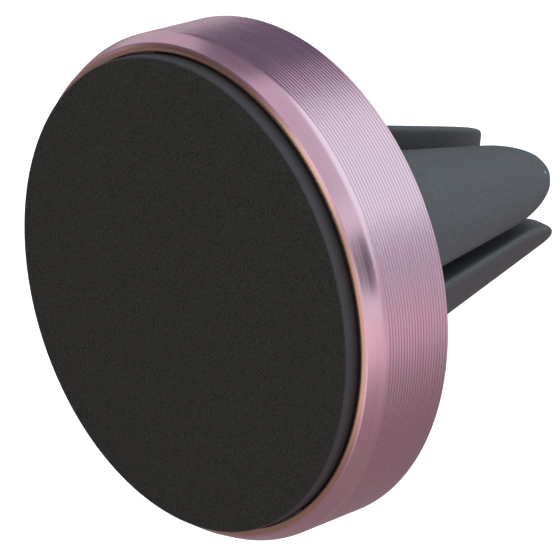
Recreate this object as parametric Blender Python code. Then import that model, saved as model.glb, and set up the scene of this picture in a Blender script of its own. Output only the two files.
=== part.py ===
"""Magnetic phone mount for a car's air vent, at rest, in metres.

Frame: the origin is the centre of the pad's front face, +Y runs along the axis towards the vent,
+X is to the right of someone who faces the pad, and +Z is up.
"""

from math import acos, asin, cos, pi, radians, sin, sqrt

import bmesh
import bpy
from mathutils import Vector

MM = 0.001
GAP = 0.3 * MM  # between pieces that touch on the real object

# Head
RING_R = 20.0 * MM
RING_FRONT = 1.2 * MM  # the pad stands this far out of the ring
RING_DEPTH = 8.0 * MM
LIP_INNER_R = 18.68 * MM
LIP_OUTER_R = 19.19 * MM
CHAMFER_FRONT_R = 19.4 * MM
LIP_BEVEL_DEPTH = 0.12 * MM
CHAMFER_DEPTH = 1.45 * MM
CHAMFER_BLEND = 0.2 * MM  # softens the chamfer into the side
REAR_BEVEL = 0.3 * MM
PAD_R = LIP_INNER_R - 0.2 * MM
PAD_THICKNESS = 1.8 * MM
PAD_EDGE_R = 0.25 * MM
TAPE_R = 17.2 * MM
TAPE_THICKNESS = 0.4 * MM
CARRIER_R = LIP_INNER_R - GAP
CARRIER_FRONT_WALL = 0.8 * MM
MAGNET_R = 5.0 * MM
MAGNET_THICKNESS = 2.2 * MM
MAGNET_PITCH_R = 9.4 * MM
MAGNET_RIM = 0.25 * MM
YOKE_R = 14.9 * MM
YOKE_THICKNESS = 0.9 * MM
COVER_THICKNESS = 1.7 * MM
COVER_RECESS = 0.2 * MM  # below the ring's rear edge
COVER_RIM = 0.3 * MM
BOSS_R = 2.0 * MM  # of the carrier's screw bosses
SCREW_PITCH_R = 15.6 * MM
SCREW_HEAD_R = 1.55 * MM
SCREW_HEAD_DEPTH = 0.9 * MM
SCREW_SHANK_R = 0.75 * MM
SCREW_SHANK_LENGTH = 3.6 * MM
SCREW_DOME = 0.25 * MM
SCREW_SINK = 0.1 * MM  # below the face around it
SCREW_DRIVE_ARM = 0.85 * MM
SCREW_DRIVE_WIDTH = 0.4 * MM
SCREW_DRIVE_DEPTH = 0.5 * MM
POINT_SHARE = 0.5  # a screw's tip, as shares of its shank's radius
POINT_LENGTH_SHARE = 0.6

# Grip
GRIP_ROOT_R = 11.57 * MM
GRIP_TAPER = 0.222  # radius lost for each unit of length
GRIP_TAPER_START = 9.2 * MM
UPPER_TIP = 36.8 * MM
LOWER_TIP = 38.1 * MM  # the lower pair is a little longer
NARROW_HALF_ANGLE = radians(5.0)  # each side of the horizontal slot
WIDE_HALF_ANGLE = radians(17.4)  # each side of the vertical slot
END_LENGTH = 6.6 * MM  # over which a prong's end rounds in
END_SHARE = 0.3  # of the prong's width left at its blunt tip
END_POWER = 2.3  # 2 would be an ellipse, and more is blunter
EDGE_ROUND = 0.7 * MM
NOSE = 0.6 * MM  # the last of the tip, where its edge rounds over
NOSE_SHARE = 0.72
CORE_INSET = 1.4 * MM
CORE_EDGE_ROUND = 0.3 * MM
CORE_TIP = 31.0 * MM
INNER_CHAMFER = 2.4 * MM
CHAMFER_SHARE = 0.35  # of the prong's width, at most
CHAMFER_OFFSET = 2 - sqrt(2)  # how much an inset shortens a 45 degree chamfer
COLLAR_R = 12.7 * MM
COLLAR_DEPTH = 2.2 * MM
COLLAR_WALL = 1.6 * MM
COLLAR_BEND = 0.8 * MM
HUB_DEPTH = 2.5 * MM
HUB_BORE_R = 1.6 * MM
HUB_COUNTERBORE_R = 3.1 * MM
HUB_COUNTERBORE_FLOOR = 0.7 * MM
WASHER_R = 2.8 * MM
WASHER_THICKNESS = 0.35 * MM
CENTRE_SCREW_HEAD_R = 2.2 * MM
CENTRE_SCREW_R = 1.2 * MM
CENTRE_SCREW_DOME = 0.35 * MM
CENTRE_DRIVE_ARM = 1.3 * MM
CENTRE_DRIVE_WIDTH = 0.55 * MM
CENTRE_DRIVE_DEPTH = 0.7 * MM

# Planes along Y, from front to back
PAD_BACK = PAD_THICKNESS
TAPE_FRONT = PAD_BACK + GAP / 3
TAPE_BACK = TAPE_FRONT + TAPE_THICKNESS
CARRIER_FRONT = TAPE_BACK + GAP / 3
POCKET_FLOOR = CARRIER_FRONT + CARRIER_FRONT_WALL
MAGNET_FRONT = POCKET_FLOOR + GAP / 3
MAGNET_BACK = MAGNET_FRONT + MAGNET_THICKNESS
YOKE_FRONT = MAGNET_BACK + GAP / 3
YOKE_BACK = YOKE_FRONT + YOKE_THICKNESS
CARRIER_BACK = YOKE_BACK
RING_BACK = RING_FRONT + RING_DEPTH
COVER_BACK = RING_BACK - COVER_RECESS
COVER_FRONT = COVER_BACK - COVER_THICKNESS
HUB_FRONT = COVER_BACK + GAP
HUB_BACK = HUB_FRONT + HUB_DEPTH
PRONG_ROOT = HUB_BACK + GAP

OVERSHOOT = 1.0 * MM  # of a cutter past the face that it opens
SMOOTH_ANGLE = 35.0
PRONG_SMOOTH_ANGLE = 40.0
RING_SEGMENTS = 80
COLLAR_SEGMENTS = 56
HUB_SEGMENTS = 48
FASTENER_SEGMENTS = 32
ROUND_SEGMENTS = 64
SMALL_SEGMENTS = 24

QUADRANTS = (
    ("upper_right", 1, 1),
    ("upper_left", -1, 1),
    ("lower_left", -1, -1),
    ("lower_right", 1, -1),
)


def clear_scene():
    for obj in list(bpy.data.objects):
        bpy.data.objects.remove(obj, do_unlink=True)


def material(name, colour, roughness, metallic=0.0):
    made = bpy.data.materials.new(name)
    made.use_nodes = True
    shader = made.node_tree.nodes["Principled BSDF"]
    shader.inputs["Base Color"].default_value = (*colour, 1.0)
    shader.inputs["Roughness"].default_value = roughness
    shader.inputs["Metallic"].default_value = metallic
    made.diffuse_color = (*colour, 1.0)
    return made


def object_from(bm, name, look, smooth_angle=SMOOTH_ANGLE):
    """Turns a bmesh into a named object with its normals facing out."""
    bmesh.ops.recalc_face_normals(bm, faces=bm.faces)
    if bm.calc_volume(signed=True) < 0.0:
        bmesh.ops.reverse_faces(bm, faces=bm.faces)
    mesh = bpy.data.meshes.new(name)
    bm.to_mesh(mesh)
    bm.free()
    mesh.materials.append(look)
    mesh.shade_smooth()
    mesh.set_sharp_from_angle(angle=radians(smooth_angle))
    obj = bpy.data.objects.new(name, mesh)
    bpy.context.scene.collection.objects.link(obj)
    return obj


def turned(name, profile, look, segments=ROUND_SEGMENTS, centre=(0.0, 0.0)):
    """Spins a closed (radius, y) outline about an axis along Y that passes through centre."""
    bm = bmesh.new()
    points = [bm.verts.new((radius, y, 0.0)) for radius, y in profile]
    edges = [bm.edges.new((a, b)) for a, b in zip(points, points[1:])]
    if profile[0][0] > 0.0:
        edges.append(bm.edges.new((points[-1], points[0])))
    bmesh.ops.spin(
        bm,
        geom=points + edges,
        cent=(0.0, 0.0, 0.0),
        axis=(0.0, 1.0, 0.0),
        angle=2 * pi,
        steps=segments,
        use_merge=True,
    )
    bmesh.ops.remove_doubles(bm, verts=bm.verts, dist=1e-7)
    bmesh.ops.translate(bm, verts=bm.verts, vec=(centre[0], 0.0, centre[1]))
    return object_from(bm, name, look)


def disc_profile(radius, front, back):
    return [(0.0, front), (radius, front), (radius, back), (0.0, back)]


def tube_profile(inner, outer, front, back):
    return [(inner, front), (outer, front), (outer, back), (inner, back)]


def arc_points(centre, radius, start, end, steps):
    """Points (radius, y) of an arc, angles in degrees from the outward radial direction."""
    made = []
    for step in range(steps + 1):
        angle = radians(start + (end - start) * step / steps)
        made.append((centre[0] + radius * cos(angle), centre[1] + radius * sin(angle)))
    return made


def cutter(name, profile, centre=(0.0, 0.0), segments=SMALL_SEGMENTS):
    made = turned(name, profile, CUTTER_LOOK, segments, centre)
    hide_cutter(made)
    return made


def hide_cutter(obj):
    obj.hide_render = True
    obj.display_type = "WIRE"


def cut(obj, tool):
    hole = obj.modifiers.new("cut_" + tool.name, "BOOLEAN")
    hole.operation = "DIFFERENCE"
    hole.solver = "EXACT"
    hole.object = tool


def around(count, pitch_radius, first=0.0):
    """Centres (x, z) spread evenly round the axis."""
    angles = [first + 2 * pi * k / count for k in range(count)]
    return [(pitch_radius * cos(a), pitch_radius * sin(a)) for a in angles]


# Head ------------------------------------------------------------------------------------------


def make_trim_ring():
    chamfer_end = RING_FRONT + CHAMFER_DEPTH
    profile = [
        (LIP_INNER_R, RING_FRONT),
        (LIP_OUTER_R, RING_FRONT),
        (CHAMFER_FRONT_R, RING_FRONT + LIP_BEVEL_DEPTH),
        (RING_R - CHAMFER_BLEND / 3, chamfer_end - CHAMFER_BLEND),
        (RING_R, chamfer_end + CHAMFER_BLEND),
        (RING_R, RING_BACK - REAR_BEVEL),
        (RING_R - REAR_BEVEL, RING_BACK),
        (LIP_INNER_R, RING_BACK),
    ]
    return turned("trim_ring", profile, look_of["anodised_ring"], segments=RING_SEGMENTS)


def make_face_pad():
    corner = (PAD_R - PAD_EDGE_R, PAD_EDGE_R)
    profile = [(0.0, 0.0)]
    profile += arc_points(corner, PAD_EDGE_R, -90, 0, 4)
    profile += [(PAD_R, PAD_BACK), (0.0, PAD_BACK)]
    return turned("face_pad", profile, look_of["soft_pad"], segments=RING_SEGMENTS)


def make_pad_adhesive():
    return turned("pad_adhesive", disc_profile(TAPE_R, TAPE_FRONT, TAPE_BACK), look_of["foam_tape"])


def make_magnet_carrier():
    carrier = turned(
        "magnet_carrier", disc_profile(CARRIER_R, CARRIER_FRONT, CARRIER_BACK), look_of["black_plastic"]
    )
    pocket_back = CARRIER_BACK + OVERSHOOT
    for number, centre in enumerate(around(4, MAGNET_PITCH_R, pi / 4), 1):
        pocket = disc_profile(MAGNET_R + GAP / 2, POCKET_FLOOR, pocket_back)
        cut(carrier, cutter(f"pocket_tool_{number}", pocket, centre))
    seat = disc_profile(YOKE_R + GAP, YOKE_FRONT - GAP / 3, pocket_back)
    seat_tool = cutter("yoke_seat_tool", seat, segments=ROUND_SEGMENTS)
    for number, centre in enumerate(around(4, SCREW_PITCH_R), 1):
        boss_profile = disc_profile(BOSS_R, YOKE_FRONT - OVERSHOOT, pocket_back + OVERSHOOT)
        boss = cutter(f"boss_keep_{number}", boss_profile, centre)
        cut(seat_tool, boss)
        hole = disc_profile(SCREW_SHANK_R + GAP / 3, POCKET_FLOOR, pocket_back)
        cut(carrier, cutter(f"boss_hole_tool_{number}", hole, centre))
    cut(carrier, seat_tool)
    centre_hole = disc_profile(CENTRE_SCREW_R + GAP / 3, POCKET_FLOOR, pocket_back)
    cut(carrier, cutter("centre_hole_tool", centre_hole))
    return carrier


def make_magnets():
    for number, centre in enumerate(around(4, MAGNET_PITCH_R, pi / 4), 1):
        profile = [
            (0.0, MAGNET_FRONT),
            (MAGNET_R - MAGNET_RIM, MAGNET_FRONT),
            (MAGNET_R, MAGNET_FRONT + MAGNET_RIM),
            (MAGNET_R, MAGNET_BACK - MAGNET_RIM),
            (MAGNET_R - MAGNET_RIM, MAGNET_BACK),
            (0.0, MAGNET_BACK),
        ]
        turned(f"magnet_{number}", profile, look_of["nickel_magnet"], SMALL_SEGMENTS, centre)


def make_yoke_plate():
    inner = CENTRE_SCREW_R + GAP
    profile = tube_profile(inner, YOKE_R, YOKE_FRONT, YOKE_BACK - GAP / 3)
    plate = turned("yoke_plate", profile, look_of["zinc_steel"])
    for number, centre in enumerate(around(4, SCREW_PITCH_R), 1):
        notch = disc_profile(BOSS_R + GAP, YOKE_FRONT - OVERSHOOT, YOKE_BACK + OVERSHOOT)
        cut(plate, cutter(f"notch_tool_{number}", notch, centre))
    return plate


def make_rear_cover():
    radius = LIP_INNER_R - GAP
    profile = [
        (HUB_BORE_R, COVER_FRONT),
        (radius, COVER_FRONT),
        (radius, COVER_BACK - COVER_RIM),
        (radius - COVER_RIM, COVER_BACK),
        (HUB_BORE_R, COVER_BACK),
    ]
    cover = turned("rear_cover", profile, look_of["black_plastic"])
    for number, centre in enumerate(around(4, SCREW_PITCH_R), 1):
        seat = [
            (0.0, COVER_FRONT - OVERSHOOT),
            (SCREW_SHANK_R + GAP, COVER_FRONT - OVERSHOOT),
            (SCREW_SHANK_R + GAP, COVER_BACK - SCREW_HEAD_DEPTH - GAP),
            (SCREW_HEAD_R + GAP, COVER_BACK - SCREW_HEAD_DEPTH - GAP),
            (SCREW_HEAD_R + GAP, COVER_BACK + OVERSHOOT),
            (0.0, COVER_BACK + OVERSHOOT),
        ]
        cut(cover, cutter(f"screw_seat_tool_{number}", seat, centre))
    return cover


def cross_recess(name, centre, arm, width, floor, top):
    """A plus-shaped cutter for a screw's drive, one solid."""
    bm = bmesh.new()
    half = width / 2
    outline = [
        (half, half), (half, arm), (-half, arm), (-half, half), (-arm, half), (-arm, -half),
        (-half, -half), (-half, -arm), (half, -arm), (half, -half), (arm, -half), (arm, half),
    ]
    corners = [bm.verts.new((centre[0] + x, floor, centre[1] + z)) for x, z in outline]
    face = bm.faces.new(corners)
    grown = bmesh.ops.extrude_face_region(bm, geom=[face])["geom"]
    lifted = [v for v in grown if isinstance(v, bmesh.types.BMVert)]
    bmesh.ops.translate(bm, verts=lifted, vec=(0.0, top - floor, 0.0))
    made = object_from(bm, name, CUTTER_LOOK)
    hide_cutter(made)
    return made


def screw_profile(head_radius, shank_radius, head_front, head_back, tip, dome):
    return [
        (0.0, tip),
        (shank_radius * POINT_SHARE, tip),
        (shank_radius, tip + shank_radius * POINT_LENGTH_SHARE),
        (shank_radius, head_front),
        (head_radius, head_front),
        (head_radius, head_back - dome),
        (head_radius - dome, head_back),
        (0.0, head_back),
    ]


def make_cover_screws():
    for number, centre in enumerate(around(4, SCREW_PITCH_R), 1):
        back = COVER_BACK - SCREW_SINK
        front = back - SCREW_HEAD_DEPTH + SCREW_SINK
        profile = screw_profile(
            SCREW_HEAD_R, SCREW_SHANK_R, front, back, front - SCREW_SHANK_LENGTH, SCREW_DOME
        )
        screw = turned(f"cover_screw_{number}", profile, look_of["screw_steel"], SMALL_SEGMENTS, centre)
        floor = back - SCREW_DRIVE_DEPTH
        drive = cross_recess(
            f"drive_tool_{number}", centre, SCREW_DRIVE_ARM, SCREW_DRIVE_WIDTH, floor, back + OVERSHOOT
        )
        cut(screw, drive)


# Grip ------------------------------------------------------------------------------------------


def grip_radius(y):
    """The grip's outer radius, a plain taper."""
    return GRIP_ROOT_R - GRIP_TAPER * (y - GRIP_TAPER_START)


def prong_angles(y, tip):
    """The prong's two edges as angles from the horizontal slot, drawn together at its end."""
    first = NARROW_HALF_ANGLE
    last = pi / 2 - WIDE_HALF_ANGLE
    middle = (first + last) / 2
    half = (last - first) / 2
    into_end = max(0.0, (y - (tip - END_LENGTH)) / END_LENGTH)
    lost = (1.0 - END_SHARE**END_POWER) * into_end**END_POWER
    share = (1.0 - lost) ** (1.0 / END_POWER)
    return middle - half * share, middle + half * share


def prong_section(y, tip, inset=0.0, arc_steps=8, corner_steps=2):
    """The prong's outline (x, z) across the axis: an outer arc and two flat walls that face the slots."""
    outer = grip_radius(y) - inset
    low, high = prong_angles(y, tip)
    floor_x = grip_radius(y) * cos(high) + inset
    floor_z = grip_radius(y) * sin(low) + inset
    low_edge = asin(floor_z / outer)
    high_edge = acos(floor_x / outer)
    edge = max(EDGE_ROUND - inset, CORE_EDGE_ROUND)
    low_arc = low_edge + edge / outer
    high_arc = high_edge - edge / outer
    width = outer * cos(low_edge) - floor_x
    chamfer = min(INNER_CHAMFER, CHAMFER_SHARE * width) - CHAMFER_OFFSET * inset
    low_start = Vector((outer * cos(low_edge) - edge, floor_z))
    low_corner = Vector((outer * cos(low_edge), floor_z))
    high_start = Vector((floor_x, outer * sin(high_edge) - edge))
    high_corner = Vector((floor_x, outer * sin(high_edge)))
    points = [(floor_x + chamfer, floor_z)]
    points += rounded_corner(low_start, low_corner, low_arc, outer, corner_steps)
    for step in range(1, arc_steps):
        angle = low_arc + (high_arc - low_arc) * step / arc_steps
        points.append((outer * cos(angle), outer * sin(angle)))
    points += reversed(rounded_corner(high_start, high_corner, high_arc, outer, corner_steps))
    points.append((floor_x, floor_z + chamfer))
    return points


def rounded_corner(start, corner, arc_angle, radius, steps):
    """A quadratic bend from start, by corner, to the arc's point at arc_angle."""
    end = Vector((radius * cos(arc_angle), radius * sin(arc_angle)))
    made = []
    for step in range(steps + 1):
        t = step / steps
        point = start * (1 - t) ** 2 + corner * 2 * t * (1 - t) + end * t**2
        made.append((point.x, point.y))
    return made


def prong_hinge(sign_x, sign_z):
    """Where a prong bends: the outer edge of its root, halfway round it."""
    low, high = prong_angles(PRONG_ROOT, UPPER_TIP)
    middle = (low + high) / 2
    radius = grip_radius(PRONG_ROOT)
    return Vector((sign_x * radius * cos(middle), PRONG_ROOT, sign_z * radius * sin(middle)))


def lofted(name, stations, look, sign_x, sign_z):
    """Joins outlines at rising y into one closed solid in its quadrant, with its origin on the hinge."""
    hinge = prong_hinge(sign_x, sign_z)
    bm = bmesh.new()
    rings = []
    for y, outline in stations:
        rings.append([bm.verts.new(Vector((sign_x * x, y, sign_z * z)) - hinge) for x, z in outline])
    for near, far in zip(rings, rings[1:]):
        count = len(near)
        for k in range(count):
            bm.faces.new((near[k], near[(k + 1) % count], far[(k + 1) % count], far[k]))
    bm.faces.new(rings[0])
    bm.faces.new(rings[-1])
    bmesh.ops.triangulate(bm, faces=[f for f in bm.faces if len(f.verts) > 4])
    made = object_from(bm, name, look, PRONG_SMOOTH_ANGLE)
    made.location = hinge
    return made


def prong_stations(tip):
    """Heights along the prong, closer together where its end rounds in."""
    straight_end = tip - END_LENGTH
    rise = [PRONG_ROOT + (straight_end - PRONG_ROOT) * k / 3 for k in range(4)]
    bend = [straight_end + END_LENGTH * sin(pi / 2 * k / 6) for k in range(1, 6)]
    return rise + bend


def sleeve_stations(tip):
    """The sleeve's outlines, with a rounded nose: the last one is smaller."""
    made = [(y, prong_section(y, tip)) for y in prong_stations(tip)]
    made.append((tip - NOSE / 3, prong_section(tip - NOSE / 3, tip)))
    made.append((tip, shrunk(prong_section(tip, tip), NOSE_SHARE)))
    return made


def shrunk(outline, share):
    centre_x = sum(x for x, _ in outline) / len(outline)
    centre_z = sum(z for _, z in outline) / len(outline)
    return [(centre_x + (x - centre_x) * share, centre_z + (z - centre_z) * share) for x, z in outline]


def core_outlines(ys, tip, inset):
    return [(y, prong_section(y, tip, inset, arc_steps=5, corner_steps=1)) for y in ys]


def make_prongs():
    core_ys = [PRONG_ROOT + (CORE_TIP - PRONG_ROOT) * k / 4 for k in range(5)]
    socket_ys = [PRONG_ROOT - OVERSHOOT] + core_ys[1:-1] + [CORE_TIP + GAP]
    for name, sign_x, sign_z in QUADRANTS:
        tip = UPPER_TIP if sign_z > 0 else LOWER_TIP
        skin = sleeve_stations(tip)
        sleeve = lofted(f"prong_sleeve_{name}", skin, look_of["silicone"], sign_x, sign_z)
        core = core_outlines(core_ys, tip, CORE_INSET)
        lofted(f"prong_core_{name}", core, look_of["nylon_core"], sign_x, sign_z)
        socket = core_outlines(socket_ys, tip, CORE_INSET - GAP)
        tool = lofted(f"socket_tool_{name}", socket, CUTTER_LOOK, sign_x, sign_z)
        hide_cutter(tool)
        cut(sleeve, tool)


def make_grip_hub():
    bore_step = HUB_FRONT + HUB_COUNTERBORE_FLOOR
    radius = COLLAR_R - COLLAR_WALL - GAP
    profile = [
        (HUB_BORE_R, HUB_FRONT),
        (radius, HUB_FRONT),
        (radius, HUB_BACK),
        (HUB_COUNTERBORE_R, HUB_BACK),
        (HUB_COUNTERBORE_R, bore_step),
        (HUB_BORE_R, bore_step),
    ]
    return turned("grip_hub", profile, look_of["nylon_core"], HUB_SEGMENTS)


def make_grip_collar():
    """The skirt of the grip's soft skin, on the rear cover round the hub."""
    inner = COLLAR_R - COLLAR_WALL
    back = HUB_FRONT + COLLAR_DEPTH
    profile = [(inner, HUB_FRONT), (COLLAR_R, HUB_FRONT)]
    profile += arc_points((COLLAR_R - COLLAR_BEND, back - COLLAR_BEND), COLLAR_BEND, 0, 90, 4)
    profile += [(inner, back)]
    return turned("grip_collar", profile, look_of["silicone"], COLLAR_SEGMENTS)


def make_hub_fasteners():
    washer_front = HUB_FRONT + HUB_COUNTERBORE_FLOOR + GAP / 3
    washer_back = washer_front + WASHER_THICKNESS
    washer = tube_profile(CENTRE_SCREW_R + GAP, WASHER_R, washer_front, washer_back)
    turned("hub_washer", washer, look_of["screw_steel"], FASTENER_SEGMENTS)
    head_front = washer_back + GAP / 3
    head_back = HUB_BACK - SCREW_SINK
    tip = POCKET_FLOOR + GAP
    profile = screw_profile(
        CENTRE_SCREW_HEAD_R, CENTRE_SCREW_R, head_front, head_back, tip, CENTRE_SCREW_DOME
    )
    screw = turned("hub_screw", profile, look_of["screw_steel"], FASTENER_SEGMENTS)
    floor = head_back - CENTRE_DRIVE_DEPTH
    top = head_back + OVERSHOOT
    drive = cross_recess(
        "drive_tool_centre", (0.0, 0.0), CENTRE_DRIVE_ARM, CENTRE_DRIVE_WIDTH, floor, top
    )
    cut(screw, drive)


clear_scene()
look_of = {
    "anodised_ring": material("anodised_ring", (0.62, 0.40, 0.46), 0.3, 1.0),
    "soft_pad": material("soft_pad", (0.035, 0.034, 0.031), 0.85),
    "foam_tape": material("foam_tape", (0.75, 0.75, 0.72), 0.9),
    "black_plastic": material("black_plastic", (0.03, 0.03, 0.032), 0.5),
    "nickel_magnet": material("nickel_magnet", (0.7, 0.69, 0.66), 0.2, 1.0),
    "zinc_steel": material("zinc_steel", (0.55, 0.56, 0.58), 0.35, 1.0),
    "screw_steel": material("screw_steel", (0.35, 0.35, 0.36), 0.3, 1.0),
    "silicone": material("silicone", (0.055, 0.058, 0.063), 0.6),
    "nylon_core": material("nylon_core", (0.12, 0.12, 0.125), 0.5),
}
CUTTER_LOOK = material("cutter", (0.8, 0.2, 0.2), 0.5)
make_trim_ring()
make_face_pad()
make_pad_adhesive()
make_magnet_carrier()
make_magnets()
make_yoke_plate()
make_rear_cover()
make_cover_screws()
make_grip_hub()
make_grip_collar()
make_hub_fasteners()
make_prongs()
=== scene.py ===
"""Looks for a magnetic vent phone mount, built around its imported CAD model.

The origin is the centre of the pad's front face. +Y runs back to the vent and +Z is up.
"""

from math import acos, asin, cos, pi, radians, sin, sqrt

import bpy
from mathutils import Matrix, Vector


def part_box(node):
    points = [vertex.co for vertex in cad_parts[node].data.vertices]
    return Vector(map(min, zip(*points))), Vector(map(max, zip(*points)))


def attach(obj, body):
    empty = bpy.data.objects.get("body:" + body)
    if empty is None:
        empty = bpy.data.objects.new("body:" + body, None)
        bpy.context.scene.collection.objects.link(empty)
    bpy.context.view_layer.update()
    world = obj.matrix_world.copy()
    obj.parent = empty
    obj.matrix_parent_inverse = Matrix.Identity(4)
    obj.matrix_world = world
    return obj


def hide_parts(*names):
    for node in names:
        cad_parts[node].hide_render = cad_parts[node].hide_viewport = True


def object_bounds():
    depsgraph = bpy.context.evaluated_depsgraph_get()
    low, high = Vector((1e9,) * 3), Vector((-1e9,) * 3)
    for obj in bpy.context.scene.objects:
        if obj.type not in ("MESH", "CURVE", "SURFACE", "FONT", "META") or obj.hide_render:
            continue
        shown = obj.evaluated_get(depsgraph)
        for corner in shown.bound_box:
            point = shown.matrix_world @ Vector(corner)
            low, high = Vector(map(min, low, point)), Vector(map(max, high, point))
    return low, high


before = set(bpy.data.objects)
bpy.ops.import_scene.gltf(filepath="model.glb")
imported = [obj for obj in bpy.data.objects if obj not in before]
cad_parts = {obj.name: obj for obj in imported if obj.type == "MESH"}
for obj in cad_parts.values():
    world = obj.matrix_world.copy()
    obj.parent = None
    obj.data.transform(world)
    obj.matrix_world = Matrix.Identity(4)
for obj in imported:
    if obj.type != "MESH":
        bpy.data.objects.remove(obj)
cad_low, cad_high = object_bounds()

MM = 0.001
GAP = 0.3 * MM  # between a prong's skin and its core

# Sizes that the frame gives
RING_LOW, RING_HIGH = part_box("trim_ring")
RING_R = RING_HIGH.x
RING_FRONT = RING_LOW.y
RING_BACK = RING_HIGH.y
PAD_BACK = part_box("face_pad")[1].y
COLLAR_LOW, COLLAR_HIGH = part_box("grip_collar")
PRONG_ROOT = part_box("prong_sleeve_upper_right")[0].y
CORE_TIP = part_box("prong_core_upper_right")[1].y

# Ring
LIP_INNER_R = 18.68 * MM
LIP_OUTER_R = 19.19 * MM
LIP_CREST = 0.2 * MM  # from the bore to the line that the lip's front bends towards
LIP_DROP = 0.13 * MM  # from the ring's front back to the lip's sides
LIP_BEVEL_DEPTH = 0.22 * MM
LIP_EDGE = 0.03 * MM
CHAMFER_FRONT_R = 19.4 * MM
CHAMFER_END_R = 19.88 * MM
CHAMFER_DEPTH = 1.45 * MM
CHAMFER_BLEND = 0.25 * MM
BEND_STEPS = 6
GROOVE_FRONT = RING_FRONT + 1.75 * MM
GROOVE_COUNT = 21
GROOVE_DEPTH = 0.036 * MM
GROOVE_STEPS = 8
GROOVE_SHARPNESS = 2.2
EDGE_BLEND = 0.05 * MM
REAR_BEVEL = 0.3 * MM
REAR_ROUND = ((0.1, 0.75), (0.9, 0.08), (1.2, 0.0))  # shares of the bevel: inwards, and short of the back
RING_SEGMENTS = 288

# Pad
PAD_R = 18.56 * MM
PAD_EDGE_R = 0.22 * MM
PAD_DOME = 0.02 * MM  # how much the face curves back towards its edge
PAD_WALL = 1.2 * MM  # the depth of side that stands out of the ring
PAD_RINGS = 10
PAD_EDGE_STEPS = 6
PAD_CENTRE_SHARE = 0.02  # the smallest ring, as a share of one step

# Collar
COLLAR_WALL = 1.6 * MM
COLLAR_EDGE = 0.15 * MM
COLLAR_BEND = 0.8 * MM
COLLAR_BEND_STEPS = 10
COLLAR_LIP_WALL = 0.5 * MM
COLLAR_LIP_COVER = 0.15 * MM  # how far the lip reaches past the prongs' roots
COLLAR_LIP_STEPS = 8
COLLAR_FILLET = 0.15 * MM
COLLAR_FILLET_STEPS = 5
COLLAR_SEGMENTS = 160

# Prongs
GRIP_ROOT_R = 11.57 * MM
GRIP_TAPER = 0.222  # radius lost for each unit of length
GRIP_TAPER_START = 9.2 * MM
NARROW_HALF_ANGLE = radians(5.0)  # each side of the horizontal slot
WIDE_HALF_ANGLE = radians(17.4)  # each side of the vertical slot
END_LENGTH = 6.6 * MM  # over which a prong's end rounds in
END_SHARE = 0.3  # of the prong's width left at its blunt tip
END_POWER = 2.3  # 2 would be an ellipse, and more is blunter
EDGE_ROUND = 0.7 * MM
LEAST_EDGE_ROUND = 0.3 * MM
INNER_CHAMFER = 2.4 * MM
CHAMFER_SHARE = 0.35  # of the prong's width, at most
CHAMFER_OFFSET = 2 - sqrt(2)  # how much an inset shortens a 45 degree chamfer
CHAMFER_ROUND_SHARE = 0.3  # 0 would pull the chamfer out towards a square corner, and 0.5 leave it flat
NOSE_R = 0.75 * MM
NOSE_SHRINK = 0.5  # of the prong's width lost over its rolled nose
ROOT_EDGE = 0.12 * MM
SLEEVE_WALL = 1.1 * MM
OUTER_ARC_STEPS = 26
CHAMFER_STEPS = 4
STRAIGHT_ROWS = 8
END_ROWS = 18
NOSE_ROWS = 8
SOCKET_ROWS = 6

SMOOTH_ANGLE = 35.0
PRONG_SMOOTH_ANGLE = 42.0

QUADRANTS = (
    ("upper_right", 1, 1),
    ("upper_left", -1, 1),
    ("lower_left", -1, -1),
    ("lower_right", 1, -1),
)


# Camera, light and floor --------------------------------------------------------------------------

CAMERA_AZIMUTH = radians(45.36)
CAMERA_ELEVATION = radians(24.96)
CAMERA_DISTANCE = 0.2226
CAMERA_TURN = radians(4.44)
CAMERA_AIM = Vector((0.0043, 0.0067, 0.0014))
CAMERA_LENS = 188.3
SENSOR_WIDTH = 36.0
NEAREST_SEEN = 0.01

# The floor throws dim light, fuller far out on the right, and its own light from in front of the mount
FLOOR_DROP = 0.045
FLOOR_HALF = 6.0
FLOOR_COLOUR = (0.93, 0.93, 0.93)
FLOOR_LIFT = 0.5
BOUNCE_DIM = (0.345, 0.285, 0.285)
BOUNCE_FULL = (0.84, 0.76, 0.80)
BOUNCE_DIM_X = 0.03
BOUNCE_FULL_X = 0.30
FRONT_BOUNCE = (1.15, 1.05, 1.00)
FRONT_BOUNCE_START_Y = -0.06
FRONT_BOUNCE_FULL_Y = -0.12
FRONT_BOUNCE_START_X = -0.09
FRONT_BOUNCE_FULL_X = -0.02

# Each soft patch of the room: its direction, the cosines where it is full and where it ends, its colour
ROOM_COLOUR = (0.66, 0.66, 0.68)
ROOM_PATCHES = (
    ("ceiling", (0.0, 0.0, 1.0), 0.95, 0.10, (0.78, 0.79, 0.86)),
    ("front_fill", (0.15, -0.97, 0.02), 0.97, 0.90, (1.20, 1.10, 1.02)),
    ("front_softbox", (-0.22, -0.93, 0.30), 0.965, 0.91, (1.70, 1.66, 1.62)),
    ("back_softbox", (0.42, 0.64, 0.66), 0.86, 0.74, (1.26, 1.66, 1.62)),
    ("right_softbox", (0.92, -0.22, 0.42), 0.96, 0.86, (1.05, 1.22, 1.24)),
    ("left_flag_back", (-0.54, 0.66, 0.52), 0.930, 0.890, (0.17, 0.17, 0.22)),
    ("left_flag_middle", (-0.57, 0.38, 0.73), 0.970, 0.940, (0.20, 0.20, 0.25)),
    ("left_flag_front", (-0.53, 0.06, 0.84), 0.980, 0.955, (0.24, 0.23, 0.28)),
    ("right_flag", (0.90, -0.18, 0.38), 0.986, 0.966, (0.03, 0.03, 0.05)),
    ("left_front_flag", (-0.66, -0.72, 0.12), 0.960, 0.900, (0.16, 0.13, 0.14)),
    ("right_gap", (0.72, 0.64, 0.27), 0.990, 0.960, (0.52, 0.46, 0.60)),
)


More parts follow.
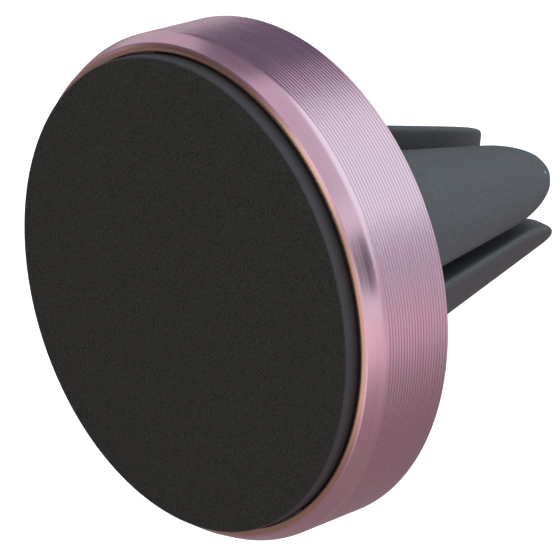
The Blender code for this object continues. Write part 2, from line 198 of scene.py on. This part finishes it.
def put(tree, value, socket):
    """Sets a socket: to another node's output, to a number, or to a colour given without its alpha."""
    if isinstance(value, bpy.types.NodeSocket):
        tree.links.new(value, socket)
    elif isinstance(value, tuple):
        socket.default_value = (*value, 1.0)
    else:
        socket.default_value = value


def mixed(tree, share, first, second):
    made = tree.nodes.new("ShaderNodeMix")
    made.data_type = "RGBA"
    put(tree, share, made.inputs["Factor"])
    put(tree, first, made.inputs["A"])
    put(tree, second, made.inputs["B"])
    return made.outputs["Result"]


def eased(tree, value, start, full, most=1.0):
    """0 at start and most at full, with a smooth change between them."""
    made = tree.nodes.new("ShaderNodeMapRange")
    made.interpolation_type = "SMOOTHSTEP"
    made.inputs["From Min"].default_value = start
    made.inputs["From Max"].default_value = full
    put(tree, most, made.inputs["To Max"])
    tree.links.new(value, made.inputs["Value"])
    return made.outputs["Result"]


def camera_sees(tree, seen, others):
    """One shader for the camera and another for all other rays."""
    path = tree.nodes.new("ShaderNodeLightPath")
    either = tree.nodes.new("ShaderNodeMixShader")
    tree.links.new(path.outputs["Is Camera Ray"], either.inputs[0])
    tree.links.new(others, either.inputs[1])
    tree.links.new(seen, either.inputs[2])
    return either.outputs[0]


def make_camera():
    """A long lens, to the right of the pad's axis and above it, with the frame a little turned."""
    data = bpy.data.cameras.new("camera")
    data.lens = CAMERA_LENS
    data.sensor_width = SENSOR_WIDTH
    data.clip_start = NEAREST_SEEN
    camera = bpy.data.objects.new("camera", data)
    bpy.context.scene.collection.objects.link(camera)
    flat = cos(CAMERA_ELEVATION)
    back = Vector(
        (sin(CAMERA_AZIMUTH) * flat, -cos(CAMERA_AZIMUTH) * flat, sin(CAMERA_ELEVATION))
    )
    turn = back.to_track_quat("Z", "Y").to_matrix().to_4x4()
    place = Matrix.Translation(CAMERA_AIM + back * CAMERA_DISTANCE)
    camera.matrix_world = place @ turn @ Matrix.Rotation(CAMERA_TURN, 4, "Z")
    bpy.context.scene.camera = camera


def room_light(tree):
    """The room's colour by direction: soft patches, each laid over those before it."""
    direction = tree.nodes.new("ShaderNodeTexCoord").outputs["Generated"]
    colour = ROOM_COLOUR
    for name, middle, full, edge, patch_colour in ROOM_PATCHES:
        facing = tree.nodes.new("ShaderNodeVectorMath")
        facing.label = name
        facing.operation = "DOT_PRODUCT"
        facing.inputs[1].default_value = Vector(middle).normalized()
        tree.links.new(direction, facing.inputs[0])
        share = eased(tree, facing.outputs["Value"], edge, full)
        colour = mixed(tree, share, colour, patch_colour)
    return colour


def make_world():
    """A white backdrop, and a room of soft light and shade that the metal reflects."""
    world = bpy.data.worlds.new("studio")
    bpy.context.scene.world = world
    world.use_nodes = True
    tree = world.node_tree
    tree.nodes.clear()
    room = tree.nodes.new("ShaderNodeBackground")
    tree.links.new(room_light(tree), room.inputs["Color"])
    backdrop = tree.nodes.new("ShaderNodeBackground")
    backdrop.inputs["Color"].default_value = (1.0, 1.0, 1.0, 1.0)
    out = tree.nodes.new("ShaderNodeOutputWorld")
    tree.links.new(camera_sees(tree, backdrop.outputs[0], room.outputs[0]), out.inputs["Surface"])


def floor_face(tree):
    """What the camera sees of the floor: pale and evenly lit."""
    paint = tree.nodes.new("ShaderNodeBsdfDiffuse")
    put(tree, FLOOR_COLOUR, paint.inputs["Color"])
    lit = tree.nodes.new("ShaderNodeEmission")
    lit.inputs["Color"].default_value = (1.0, 1.0, 1.0, 1.0)
    lit.inputs["Strength"].default_value = FLOOR_LIFT
    both = tree.nodes.new("ShaderNodeAddShader")
    tree.links.new(paint.outputs[0], both.inputs[0])
    tree.links.new(lit.outputs[0], both.inputs[1])
    return both.outputs[0]


def floor_bounce(tree):
    """The light that the floor throws up at the mount."""
    place = tree.nodes.new("ShaderNodeTexCoord")
    where = tree.nodes.new("ShaderNodeSeparateXYZ")
    tree.links.new(place.outputs["Object"], where.inputs[0])
    to_right = eased(tree, where.outputs["X"], BOUNCE_DIM_X, BOUNCE_FULL_X)
    ahead = eased(tree, where.outputs["Y"], FRONT_BOUNCE_START_Y, FRONT_BOUNCE_FULL_Y)
    in_front = eased(tree, where.outputs["X"], FRONT_BOUNCE_START_X, FRONT_BOUNCE_FULL_X, most=ahead)
    bounce = mixed(tree, to_right, BOUNCE_DIM, BOUNCE_FULL)
    thrown = tree.nodes.new("ShaderNodeEmission")
    tree.links.new(mixed(tree, in_front, bounce, FRONT_BOUNCE), thrown.inputs["Color"])
    return thrown.outputs[0]


def make_floor():
    """A plain pale floor, some way under the mount, which hangs from its vent."""
    mesh = bpy.data.meshes.new("floor")
    height = cad_low.z - FLOOR_DROP
    turns = ((-1, -1), (1, -1), (1, 1), (-1, 1))
    corners = [(x * FLOOR_HALF, y * FLOOR_HALF, height) for x, y in turns]
    mesh.from_pydata(corners, [], [(0, 1, 2, 3)])
    floor = bpy.data.objects.new("floor", mesh)
    bpy.context.scene.collection.objects.link(floor)
    look = bpy.data.materials.new("pale_floor")
    look.use_nodes = True
    tree = look.node_tree
    tree.nodes.clear()
    out = tree.nodes.new("ShaderNodeOutputMaterial")
    tree.links.new(camera_sees(tree, floor_face(tree), floor_bounce(tree)), out.inputs["Surface"])
    mesh.materials.append(look)


# Materials ----------------------------------------------------------------------------------------

ROSE_DEEP = (0.61, 0.375, 0.465)
ROSE_PALE = (0.67, 0.405, 0.50)
ROSE_LINE = (0.76, 0.53, 0.60)
# painted shade for the bottoms of the side's grooves
ROSE_GROOVE_SHADE = (0.47, 0.29, 0.39)
COPPER_DEEP = (0.44, 0.27, 0.225)
COPPER_PALE = (0.60, 0.40, 0.32)
PAD_DEEP = (0.0085, 0.0105, 0.0085)
PAD_PALE = (0.0185, 0.0178, 0.0160)
PAD_GRAIN = (0.045, 0.044, 0.041)
# the pad's side: a painted highlight by the face, and painted warm shade towards the ring
PAD_SIDE_HIGHLIGHT = (0.060, 0.055, 0.064)
PAD_SIDE_SHADE = (0.022, 0.019, 0.018)
SILICONE_DEEP = (0.055, 0.0505, 0.060)
SILICONE_PALE = (0.072, 0.067, 0.080)
SILICONE_GRAIN = (0.115, 0.112, 0.124)
# painted shade for the silicone's slots
SILICONE_SLOT_SHADE = (0.012, 0.012, 0.013)
DUST = (0.30, 0.30, 0.33)

SOFT = (0.3, 0.7)  # most of a noise's range, for gentle change
FLECKS = (0.42, 0.72)  # the upper part of it, for small pale flecks
GROOVE_WALL = (0.25, 0.85)  # shares of a groove's depth over which its painted shade deepens
# how far the painted shade in the slots looks for other surfaces, and over what it blends in
SLOT_SHADE_REACH = 4.0 * MM
SLOT_SHADE_OPENING = (0.25, 0.75)
# painted shade in the plated parts' recesses, such as the screws' cross
RECESS_REACH = 0.9 * MM
RECESS_OPENING = (0.35, 0.8)
RECESS_SHADE = 0.15
OPENNESS_SAMPLES = 8
TURNED_LINES = 9000.0  # how fast the turned lines change across their way, per metre
LIP_LINES = 13000.0
LINE_DRIFT = 70.0  # how fast a turned line changes along its way, per metre
SPECKS_PER_METRE = 650.0
SPECK_EDGE = (0.11, 0.06)  # from a speck's rim to where it is full, as shares of its cell
SPECKS_LEFT_OUT = 0.80
SCRATCH_SCALES = (900.0, 9000.0, 9000.0)


class Look:
    """A material being built, with short names for the nodes that it uses.

    It starts as a plain colour and roughness, which stay until nodes are linked to them.
    """

    def __init__(self, name, colour, roughness, metallic=0.0, **sockets):
        self.material = bpy.data.materials.new(name)
        self.material.use_nodes = True
        self.tree = self.material.node_tree
        self.shader = self.tree.nodes["Principled BSDF"]
        self.shader.inputs["Base Color"].default_value = (*colour, 1.0)
        self.shader.inputs["Roughness"].default_value = roughness
        self.shader.inputs["Metallic"].default_value = metallic
        for socket, value in sockets.items():
            self.shader.inputs[socket.replace("_", " ")].default_value = value
        self.place = self.tree.nodes.new("ShaderNodeTexCoord").outputs["Object"]

    def math(self, operation, first, second=0.0):
        made = self.tree.nodes.new("ShaderNodeMath")
        made.operation = operation
        put(self.tree, first, made.inputs[0])
        put(self.tree, second, made.inputs[1])
        return made.outputs[0]

    def product(self, first, second):
        return self.math("MULTIPLY", first, second)

    def parts(self):
        """The x, y and z of a point."""
        made = self.tree.nodes.new("ShaderNodeSeparateXYZ")
        self.tree.links.new(self.place, made.inputs[0])
        return made.outputs

    def vector(self, x, y, z):
        made = self.tree.nodes.new("ShaderNodeCombineXYZ")
        for value, socket in zip((x, y, z), made.inputs):
            put(self.tree, value, socket)
        return made.outputs[0]

    def noise(self, scale, detail=2.0, vector=None):
        made = self.tree.nodes.new("ShaderNodeTexNoise")
        made.inputs["Scale"].default_value = scale
        made.inputs["Detail"].default_value = detail
        self.tree.links.new(vector or self.place, made.inputs["Vector"])
        return made.outputs["Fac"]

    def cells(self, scale):
        """A scatter of points: the distance to the nearest one, and a colour of its own for each."""
        made = self.tree.nodes.new("ShaderNodeTexVoronoi")
        made.inputs["Scale"].default_value = scale
        self.tree.links.new(self.place, made.inputs["Vector"])
        return made.outputs["Distance"], made.outputs["Color"]

    def red_of(self, colour):
        made = self.tree.nodes.new("ShaderNodeSeparateColor")
        self.tree.links.new(colour, made.inputs[0])
        return made.outputs[0]

    def openness(self, reach):
        """How free a point is of other surfaces within reach: 0 in a slot, 1 in the open."""
        made = self.tree.nodes.new("ShaderNodeAmbientOcclusion")
        made.samples = OPENNESS_SAMPLES
        made.inputs["Distance"].default_value = reach
        return made.outputs["AO"]

    def spread(self, value, low, high, to_low=0.0, to_high=1.0):
        """Stretches low..high over to_low..to_high, and holds it there beyond them."""
        made = self.tree.nodes.new("ShaderNodeMapRange")
        self.tree.links.new(value, made.inputs["Value"])
        made.inputs["From Min"].default_value = low
        made.inputs["From Max"].default_value = high
        made.inputs["To Min"].default_value = to_low
        made.inputs["To Max"].default_value = to_high
        return made.outputs["Result"]

    def mixed(self, share, first, second):
        return mixed(self.tree, share, first, second)

    def colour(self, value):
        self.tree.links.new(value, self.shader.inputs["Base Color"])

    def roughness(self, value):
        self.tree.links.new(value, self.shader.inputs["Roughness"])

    def bump(self, height, strength, distance):
        """Adds a bump on top of any that is already there."""
        made = self.tree.nodes.new("ShaderNodeBump")
        made.inputs["Strength"].default_value = strength
        made.inputs["Distance"].default_value = distance
        self.tree.links.new(height, made.inputs["Height"])
        socket = self.shader.inputs["Normal"]
        if socket.is_linked:
            self.tree.links.new(socket.links[0].from_socket, made.inputs["Normal"])
        self.tree.links.new(made.outputs["Normal"], socket)

    def radius(self):
        """A point's distance from the Y axis."""
        x, _, z = self.parts()
        return self.math("SQRT", self.math("ADD", self.product(x, x), self.product(z, z)))

    def turned_lines(self, fineness):
        """Noise drawn out round the Y axis, as lines left by turning."""
        x, y, z = self.parts()
        line = self.math("ADD", self.product(self.radius(), fineness), self.product(y, fineness))
        drift = (self.product(part, LINE_DRIFT) for part in (x, z))
        return self.noise(scale=1.0, detail=3.0, vector=self.vector(line, *drift))

    def round_axis(self):
        """Gives the metal's grain a direction, round the Y axis."""
        made = self.tree.nodes.new("ShaderNodeTangent")
        made.direction_type = "RADIAL"
        made.axis = "Y"
        self.tree.links.new(made.outputs[0], self.shader.inputs["Tangent"])


def groove_shade_share(look):
    """Where the side's grooves take painted shade: 1 at their bottoms, 0 on their ridges and off the side.
    """
    along = look.parts()[1]
    side_end = RING_BACK - REAR_BEVEL
    after_front = look.spread(along, GROOVE_FRONT - EDGE_BLEND, GROOVE_FRONT)
    before_end = look.spread(along, side_end, side_end - EDGE_BLEND)
    shallow, full = (RING_R - share * GROOVE_DEPTH for share in GROOVE_WALL)
    deep = look.spread(look.radius(), shallow, full)
    return look.product(deep, look.product(after_front, before_end))


def anodised_look():
    """Rose anodising over turned metal, with painted shade in the grooves, and its gloss drawn out across
    the lines.
    """
    look = Look(
        "anodised_rose", (0.64, 0.41, 0.50), 0.26, metallic=1.0, Anisotropic=0.6, Anisotropic_Rotation=0.25
    )
    look.round_axis()
    lines = look.turned_lines(TURNED_LINES)
    cloud = look.noise(scale=90.0)
    tint = look.mixed(look.spread(cloud, *SOFT), ROSE_DEEP, ROSE_PALE)
    tint = look.mixed(look.spread(lines, 0.35, 0.7, to_high=0.3), tint, ROSE_LINE)
    # painted shade: the colour darkens towards the grooves' bottoms
    look.colour(look.mixed(groove_shade_share(look), tint, ROSE_GROOVE_SHADE))
    look.roughness(look.spread(lines, *SOFT, to_low=0.21, to_high=0.30))
    look.bump(lines, strength=0.35, distance=0.006 * MM)
    return look.material


def lip_look():
    """The ring's front edge, cut after anodising: barer and more coppery, with turning lines."""
    look = Look(
        "cut_copper_edge", (0.80, 0.55, 0.40), 0.24, metallic=1.0, Anisotropic=0.7, Anisotropic_Rotation=0.25
    )
    look.round_axis()
    lines = look.turned_lines(LIP_LINES)
    look.colour(look.mixed(look.spread(lines, *SOFT), COPPER_DEEP, COPPER_PALE))
    look.bump(lines, strength=0.5, distance=0.008 * MM)
    return look.material


def pad_look():
    """Soft matt pad with a fine grain. Its side is painted lighter than its face, a painted highlight by the
    face's edge that gives way to painted shade towards the ring.
    """
    look = Look("soft_pad_grain", (0.035, 0.034, 0.030), 0.82, Specular_IOR_Level=0.28)
    grain = look.noise(scale=5200.0)
    mottle = look.noise(scale=1100.0, detail=4.0)
    face = look.mixed(look.spread(mottle, 0.35, 0.65), PAD_DEEP, PAD_PALE)
    face = look.mixed(look.spread(grain, *FLECKS, to_high=0.7), face, PAD_GRAIN)
    # painted highlight on the side by the face, fading to painted shade towards the ring
    on_side = look.spread(look.radius(), PAD_R - 0.8 * PAD_EDGE_R, PAD_R - 0.1 * PAD_EDGE_R)
    inwards = look.spread(look.parts()[1], 0.35 * PAD_WALL, 0.95 * PAD_WALL)
    look.colour(look.mixed(on_side, face, look.mixed(inwards, PAD_SIDE_HIGHLIGHT, PAD_SIDE_SHADE)))
    look.roughness(look.spread(mottle, *SOFT, to_low=0.74, to_high=0.9))
    look.bump(grain, strength=0.55, distance=0.03 * MM)
    look.bump(mottle, strength=0.35, distance=0.04 * MM)
    return look.material


def dust_share(look):
    """1 on a few small specks, 0 elsewhere."""
    distance, own_colour = look.cells(SPECKS_PER_METRE)
    chosen = look.math("GREATER_THAN", look.red_of(own_colour), SPECKS_LEFT_OUT)
    return look.product(look.spread(distance, *SPECK_EDGE), chosen)


def silicone_look():
    """Moulded silicone: satin, softly clouded and finely grained, with painted shade in its slots, and pale
    dust.
    """
    look = Look("satin_silicone", (0.060, 0.058, 0.064), 0.56, Specular_IOR_Level=0.4)
    cloud = look.noise(scale=260.0, detail=4.0)
    fine = look.noise(scale=7000.0)
    base = look.mixed(look.spread(cloud, *SOFT), SILICONE_DEEP, SILICONE_PALE)
    base = look.mixed(look.spread(fine, *FLECKS, to_high=0.6), base, SILICONE_GRAIN)
    # painted shade: the colour darkens where other surfaces close in, as in the slots
    base = look.mixed(look.spread(look.openness(SLOT_SHADE_REACH), *SLOT_SHADE_OPENING), SILICONE_SLOT_SHADE, base)
    look.colour(look.mixed(dust_share(look), base, DUST))
    look.roughness(look.spread(cloud, *SOFT, to_low=0.48, to_high=0.64))
    look.bump(fine, strength=0.35, distance=0.02 * MM)
    look.bump(cloud, strength=0.3, distance=0.08 * MM)
    return look.material


def moulded_look(name, dark, light, roughness, grain_scale):
    """Moulded plastic with a fine eroded texture."""
    look = Look(name, dark, roughness)
    grain = look.noise(grain_scale, detail=3.0)
    cloud = look.noise(scale=300.0)
    look.colour(look.mixed(look.spread(cloud, *SOFT), dark, light))
    look.roughness(look.spread(grain, *SOFT, to_low=roughness - 0.07, to_high=roughness + 0.1))
    look.bump(grain, strength=0.5, distance=0.03 * MM)
    return look.material


def plated_look(name, dark, light, roughness, cloud_scale):
    """Plated metal with faint clouding and fine scratches, with painted shade in its recesses."""
    look = Look(name, light, roughness, metallic=1.0)
    cloud = look.noise(cloud_scale, detail=3.0)
    stretched = (look.product(part, scale) for part, scale in zip(look.parts(), SCRATCH_SCALES))
    scratch = look.noise(scale=1.0, vector=look.vector(*stretched))
    metal = look.mixed(look.spread(cloud, *SOFT), dark, light)
    # painted shade where other surfaces close in, as in the recesses
    shaded = tuple(part * RECESS_SHADE for part in dark)
    in_open = look.spread(look.openness(RECESS_REACH), *RECESS_OPENING)
    look.colour(look.mixed(in_open, shaded, metal))
    look.roughness(look.spread(scratch, *SOFT, to_low=roughness - 0.06, to_high=roughness + 0.12))
    look.bump(scratch, strength=0.3, distance=0.01 * MM)
    return look.material


def foam_look():
    """White foam tape with small open cells."""
    look = Look("foam_tape_white", (0.75, 0.75, 0.72), 0.9)
    distance, _ = look.cells(4000.0)
    cloud = look.noise(scale=700.0)
    look.colour(look.mixed(look.spread(cloud, *SOFT), (0.68, 0.68, 0.65), (0.78, 0.78, 0.75)))
    look.bump(distance, strength=0.6, distance=0.05 * MM)
    return look.material


# Shapes -------------------------------------------------------------------------------------------


def piece(name, points, faces, looks, face_looks=None, smooth_angle=SMOOTH_ANGLE):
    """An object from points and faces. face_looks numbers each face's material among looks."""
    mesh = bpy.data.meshes.new(name)
    mesh.from_pydata(points, [], faces)
    for look in looks:
        mesh.materials.append(look)
    if face_looks:
        mesh.polygons.foreach_set("material_index", face_looks)
    mesh.shade_smooth()
    mesh.set_sharp_from_angle(angle=radians(smooth_angle))
    mesh.update()
    made = bpy.data.objects.new(name, mesh)
    bpy.context.scene.collection.objects.link(made)
    return made


def ring_of(radius, y, segments):
    angles = [2 * pi * k / segments for k in range(segments)]
    return [(radius * cos(a), y, radius * sin(a)) for a in angles]


def band(here, there, count):
    """The faces between two loops of count points, which start at the points numbered here and there."""
    made = []
    for k in range(count):
        after = (k + 1) % count
        made.append((here + k, here + after, there + after, there + k))
    return made


def lathe(name, profile, looks, segments, look_of_edge=None, closed=True):
    """Turns a (radius, y) outline about the Y axis.

    A closed outline makes a tube, and an open one is capped at both ends.
    """
    points = []
    for radius, y in profile:
        points += ring_of(radius, y, segments)
    count = len(profile)
    faces, face_looks = [], []
    for row in range(count if closed else count - 1):
        faces += band(row * segments, (row + 1) % count * segments, segments)
        face_looks += [look_of_edge(profile[row]) if look_of_edge else 0] * segments
    if not closed:
        faces.append(tuple(reversed(range(segments))))
        faces.append(tuple(range((count - 1) * segments, count * segments)))
        face_looks += [0, 0]
    return piece(name, points, faces, looks, face_looks)


def arc(centre, radius, start, end, steps):
    """Points (radius, y) of an arc, with angles in degrees from the outward direction."""
    angles = [radians(start + (end - start) * k / steps) for k in range(steps + 1)]
    return [(centre[0] + radius * cos(a), centre[1] + radius * sin(a)) for a in angles]


def bend(start, corner, end, steps):
    """Points of a quadratic bend, both ends included."""
    shares = [k / steps for k in range(steps + 1)]
    return [start * (1 - t) ** 2 + corner * 2 * t * (1 - t) + end * t**2 for t in shares]


def groove_profile():
    """The turned side: narrow valleys between rounded ridges."""
    length = RING_BACK - REAR_BEVEL - GROOVE_FRONT
    total = GROOVE_COUNT * GROOVE_STEPS
    made = []
    for step in range(total + 1):
        phase = step / GROOVE_STEPS
        valley = (0.5 - 0.5 * cos(2 * pi * phase)) ** GROOVE_SHARPNESS
        made.append((RING_R - GROOVE_DEPTH * valley, GROOVE_FRONT + length * step / total))
    return made


def ring_profile():
    """The ring's outline, from its bore over the lip, the chamfer and the side to its back."""
    lip_start = Vector((LIP_INNER_R + LIP_EDGE / 3, RING_FRONT + LIP_EDGE))
    lip_crest = Vector((LIP_INNER_R + LIP_CREST, RING_FRONT - LIP_EDGE))
    lip_end = Vector((LIP_OUTER_R, RING_FRONT + LIP_DROP))
    chamfer_front = RING_FRONT + LIP_BEVEL_DEPTH
    cone_end = Vector((CHAMFER_END_R, RING_FRONT + CHAMFER_DEPTH - CHAMFER_BLEND))
    corner = Vector((RING_R, RING_FRONT + CHAMFER_DEPTH))
    side_start = Vector((RING_R, GROOVE_FRONT - EDGE_BLEND))
    profile = [(LIP_INNER_R, RING_FRONT + LIP_DROP)]
    profile += [tuple(point) for point in bend(lip_start, lip_crest, lip_end, BEND_STEPS)]
    profile.append((CHAMFER_FRONT_R - LIP_EDGE, chamfer_front - LIP_EDGE))
    profile.append((CHAMFER_FRONT_R, chamfer_front + LIP_EDGE / 2))
    profile += [tuple(point) for point in bend(cone_end, corner, side_start, BEND_STEPS)]
    profile += groove_profile()
    profile += [
        (RING_R - REAR_BEVEL * inwards, RING_BACK - REAR_BEVEL * short) for inwards, short in REAR_ROUND
    ]
    profile += [(LIP_INNER_R + LIP_EDGE, RING_BACK), (LIP_INNER_R, RING_BACK - LIP_EDGE)]
    return profile


def look_of_ring_edge(point):
    """1, the bare metal, on the lip, and 0, the anodising, elsewhere."""
    radius, y = point
    on_lip = y < RING_FRONT + LIP_DROP and radius < LIP_OUTER_R - LIP_EDGE / 2
    return 1 if on_lip else 0


def make_ring(anodised, lip):
    ring = lathe("turned_ring", ring_profile(), [anodised, lip], RING_SEGMENTS, look_of_ring_edge)
    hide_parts("trim_ring")
    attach(ring, "head")


def make_pad(look):
    """The soft pad: a faintly crowned face, a small rolled edge and a straight side."""
    face_r = PAD_R - PAD_EDGE_R
    profile = []
    for k in range(PAD_RINGS):
        profile.append((face_r * (k + PAD_CENTRE_SHARE) / PAD_RINGS, PAD_DOME * (k / PAD_RINGS) ** 2))
    edge = arc((face_r, PAD_EDGE_R), PAD_EDGE_R, -90, 0, PAD_EDGE_STEPS)
    profile += [(radius, y + PAD_DOME) for radius, y in edge]
    profile += [(PAD_R, PAD_BACK - PAD_EDGE_R), (PAD_R - PAD_EDGE_R / 2, PAD_BACK)]
    pad = lathe("grained_pad", profile, [look], RING_SEGMENTS, closed=False)
    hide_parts("face_pad")
    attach(pad, "head")


def make_collar(look):
    """The skirt of the grip's skin: a soft ring with a rolled outer edge and a low lip round the prongs."""
    outer, front, back = COLLAR_HIGH.x, COLLAR_LOW.y, COLLAR_HIGH.y
    inner = outer - COLLAR_WALL
    profile = [
        (inner, front + COLLAR_EDGE),
        (inner + COLLAR_EDGE, front),
        (outer - COLLAR_EDGE, front),
        (outer, front + COLLAR_EDGE),
    ]
    profile += arc((outer - COLLAR_BEND, back - COLLAR_BEND), COLLAR_BEND, 0, 90, COLLAR_BEND_STEPS)
    lip_foot = inner + COLLAR_LIP_WALL + COLLAR_EDGE
    fillet = (lip_foot + COLLAR_FILLET, back + COLLAR_FILLET)
    profile += arc(fillet, COLLAR_FILLET, 270, 180, COLLAR_FILLET_STEPS)
    crown_r = COLLAR_LIP_WALL / 2
    crown = (inner + crown_r, PRONG_ROOT + COLLAR_LIP_COVER - crown_r)
    profile += arc(crown, crown_r, 0, 180, COLLAR_LIP_STEPS)
    collar = lathe("soft_collar", profile, [look], COLLAR_SEGMENTS)
    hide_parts("grip_collar")
    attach(collar, "head")


def grip_radius(y):
    """The grip's outer radius, a plain taper."""
    return GRIP_ROOT_R - GRIP_TAPER * (y - GRIP_TAPER_START)


def prong_angles(y, tip):
    """The prong's two edges as angles from the horizontal slot, drawn together at its end."""
    first, last = NARROW_HALF_ANGLE, pi / 2 - WIDE_HALF_ANGLE
    middle, half = (first + last) / 2, (last - first) / 2
    into_end = max(0.0, (y - (tip - END_LENGTH)) / END_LENGTH)
    lost = (1.0 - END_SHARE**END_POWER) * into_end**END_POWER
    share = (1.0 - lost) ** (1.0 / END_POWER)
    return middle - half * share, middle + half * share


def prong_section(y, tip, inset):
    """The prong's outline across the axis, the same number of points at every height and inset."""
    outer = grip_radius(y) - inset
    low, high = prong_angles(y, tip)
    floor_x = grip_radius(y) * cos(high) + inset
    floor_z = grip_radius(y) * sin(low) + inset
    low_edge, high_edge = asin(floor_z / outer), acos(floor_x / outer)
    edge = max(EDGE_ROUND - inset, LEAST_EDGE_ROUND)
    low_arc, high_arc = low_edge + edge / outer, high_edge - edge / outer
    low_start = Vector((outer * cos(low_edge) - edge, floor_z))
    low_corner = Vector((outer * cos(low_edge), floor_z))
    low_end = Vector((outer * cos(low_arc), outer * sin(low_arc)))
    high_start = Vector((floor_x, outer * sin(high_edge) - edge))
    high_corner = Vector((floor_x, outer * sin(high_edge)))
    high_end = Vector((outer * cos(high_arc), outer * sin(high_arc)))
    points = bend(low_start, low_corner, low_end, BEND_STEPS)
    for step in range(1, OUTER_ARC_STEPS):
        angle = low_arc + (high_arc - low_arc) * step / OUTER_ARC_STEPS
        points.append(Vector((outer * cos(angle), outer * sin(angle))))
    points += reversed(bend(high_start, high_corner, high_end, BEND_STEPS))
    width = outer * cos(low_edge) - floor_x
    points += inner_chamfer(floor_x, floor_z, width, inset, high_start, low_start)
    return points


def inner_chamfer(floor_x, floor_z, width, inset, high_start, low_start):
    """The flat walls' ends and the rounded chamfer between them, where the two slots cross."""
    chamfer = min(INNER_CHAMFER, CHAMFER_SHARE * width) - CHAMFER_OFFSET * inset
    depth = chamfer * CHAMFER_ROUND_SHARE
    inner_high = Vector((floor_x, floor_z + chamfer))
    inner_low = Vector((floor_x + chamfer, floor_z))
    points = [high_start.lerp(inner_high, 0.5)]
    points += bend(inner_high, Vector((floor_x + depth, floor_z + depth)), inner_low, CHAMFER_STEPS)
    points.append(inner_low.lerp(low_start, 0.5))
    return points


def scaled(outline, share):
    """The outline drawn in towards its middle."""
    middle = sum(outline, Vector((0.0, 0.0))) / len(outline)
    return [middle + (point - middle) * share for point in outline]


def prong_outside(tip):
    """The outlines up a prong: a small edge at the root, a straight run, the rounding end and the nose."""
    straight_end = tip - END_LENGTH
    nose_start = tip - NOSE_R
    straight, ending = straight_end - PRONG_ROOT, nose_start - straight_end
    heights = [PRONG_ROOT + ROOT_EDGE]
    heights += [PRONG_ROOT + straight * k / STRAIGHT_ROWS for k in range(1, STRAIGHT_ROWS + 1)]
    heights += [straight_end + ending * sin(pi / 2 * k / END_ROWS) for k in range(1, END_ROWS + 1)]
    rows = [(PRONG_ROOT, prong_section(PRONG_ROOT, tip, ROOT_EDGE))]
    rows += [(y, prong_section(y, tip, 0.0)) for y in heights]
    for k in range(1, NOSE_ROWS + 1):
        angle = pi / 2 * k / NOSE_ROWS
        y = nose_start + NOSE_R * sin(angle)
        rows.append((y, scaled(prong_section(y, tip, 0.0), 1 - NOSE_SHRINK * (1 - cos(angle)))))
    return rows


def prong_socket(tip):
    """The outlines of the socket for the core, from its end down to the root."""
    length = CORE_TIP + GAP - PRONG_ROOT
    heights = [PRONG_ROOT + length * k / SOCKET_ROWS for k in range(SOCKET_ROWS, -1, -1)]
    return [(y, prong_section(y, tip, SLEEVE_WALL)) for y in heights]


def make_prong(name, sign_x, sign_z, look):
    """One prong's soft skin: a closed shell with a socket for the core."""
    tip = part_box("prong_sleeve_" + name)[1].y
    rows = prong_socket(tip) + prong_outside(tip)
    count = len(rows[0][1])
    points = [(sign_x * p.x, y, sign_z * p.y) for y, outline in rows for p in outline]
    faces = []
    for row in range(len(rows) - 1):
        faces += band(row * count, (row + 1) * count, count)
    faces.append(tuple(reversed(range(count))))
    faces.append(tuple(range((len(rows) - 1) * count, len(rows) * count)))
    if sign_x * sign_z > 0:
        faces = [tuple(reversed(face)) for face in faces]
    prong = piece("soft_prong_" + name, points, faces, [look], smooth_angle=PRONG_SMOOTH_ANGLE)
    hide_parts("prong_sleeve_" + name)
    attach(prong, "prong_" + name)


def dress(look, *nodes):
    """Gives CAD nodes a material, in place of their plain one."""
    for node in nodes:
        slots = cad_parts[node].data.materials
        slots.clear()
        slots.append(look)


def dress_frame():
    black = moulded_look(
        "black_moulding", (0.018, 0.018, 0.019), (0.03, 0.03, 0.031), roughness=0.48, grain_scale=5000.0
    )
    nylon = moulded_look(
        "grey_nylon", (0.045, 0.046, 0.05), (0.065, 0.066, 0.07), roughness=0.42, grain_scale=3500.0
    )
    nickel = plated_look(
        "bright_nickel", (0.62, 0.60, 0.56), (0.74, 0.72, 0.68), roughness=0.2, cloud_scale=300.0
    )
    zinc = plated_look(
        "zinc_plate", (0.46, 0.47, 0.50), (0.60, 0.61, 0.63), roughness=0.36, cloud_scale=500.0
    )
    screw = plated_look(
        "black_nickel_screw", (0.20, 0.20, 0.21), (0.34, 0.34, 0.35), roughness=0.28, cloud_scale=900.0
    )
    dress(black, "rear_cover", "magnet_carrier")
    dress(nylon, "grip_hub", *("prong_core_" + name for name, _, _ in QUADRANTS))
    dress(nickel, *(f"magnet_{k}" for k in range(1, 5)))
    dress(zinc, "yoke_plate")
    dress(screw, "hub_screw", "hub_washer", *(f"cover_screw_{k}" for k in range(1, 5)))
    dress(foam_look(), "pad_adhesive")


bpy.context.scene.view_settings.view_transform = "Standard"
make_camera()
make_world()
make_floor()
make_ring(anodised_look(), lip_look())
make_pad(pad_look())
silicone = silicone_look()
make_collar(silicone)
for quadrant in QUADRANTS:
    make_prong(*quadrant, silicone)
dress_frame()
